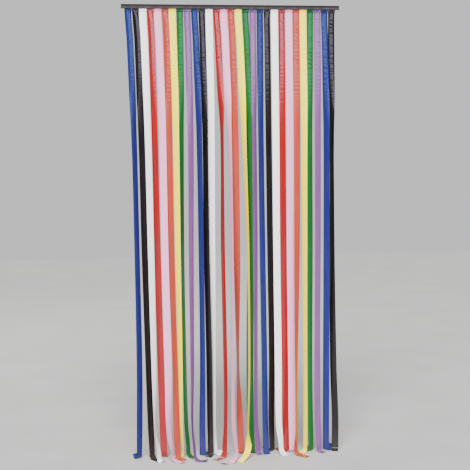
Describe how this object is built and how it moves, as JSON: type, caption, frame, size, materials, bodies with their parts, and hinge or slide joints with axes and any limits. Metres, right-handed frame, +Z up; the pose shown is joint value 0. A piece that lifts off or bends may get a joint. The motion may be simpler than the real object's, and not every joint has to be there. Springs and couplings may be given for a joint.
{
  "type": "ribbon door curtain with its rail",
  "caption": "Door curtain of flat glossy plastic ribbons in a repeated colour order, clamped side by side in a slim metal rail and hanging down to the floor.",
  "frame": {"origin": "middle of the rail's flat back face, where it lies against the door frame", "axes": "+X to the right along the rail as seen from the room, -Y towards the room, +Z up; the ribbons reach the floor at z = -2.08 m"},
  "size_m": [1, 0.2364, 2.089],
  "materials": {
    "rail_dark": "satin",
    "rail_grey": "satin",
    "clamp_dark": "satin",
    "ribbon_blue": "glossy",
    "ribbon_black": "glossy",
    "ribbon_white": "glossy",
    "ribbon_red": "glossy",
    "ribbon_pink": "glossy",
    "ribbon_salmon": "glossy",
    "ribbon_yellow": "glossy",
    "ribbon_green": "glossy",
    "ribbon_violet": "glossy"
  },
  "bodies": {
    "root": {"rail_channel": "rail_dark", "rail_front_strip": "rail_grey", "clamp_strip": "clamp_dark", "end_cap_left": "rail_dark", "end_cap_right": "rail_dark", "ribbon_01_blue": "ribbon_blue", "ribbon_02_black": "ribbon_black", "ribbon_03_white": "ribbon_white", "ribbon_04_red": "ribbon_red", "ribbon_05_pink": "ribbon_pink", "ribbon_06_salmon": "ribbon_salmon", "ribbon_07_yellow": "ribbon_yellow", "ribbon_08_green": "ribbon_green", "ribbon_09_violet": "ribbon_violet", "ribbon_10_blue": "ribbon_blue", "ribbon_11_black": "ribbon_black", "ribbon_12_white": "ribbon_white", "ribbon_13_red": "ribbon_red", "ribbon_14_pink": "ribbon_pink", "ribbon_15_salmon": "ribbon_salmon", "ribbon_16_yellow": "ribbon_yellow", "ribbon_17_green": "ribbon_green", "ribbon_18_violet": "ribbon_violet", "ribbon_19_blue": "ribbon_blue", "ribbon_20_black": "ribbon_black", "ribbon_21_white": "ribbon_white", "ribbon_22_red": "ribbon_red", "ribbon_23_pink": "ribbon_pink", "ribbon_24_salmon": "ribbon_salmon", "ribbon_25_yellow": "ribbon_yellow", "ribbon_26_green": "ribbon_green", "ribbon_27_violet": "ribbon_violet", "ribbon_28_blue": "ribbon_blue", "ribbon_29_black": "ribbon_black"}
  },
  "joints": []
}
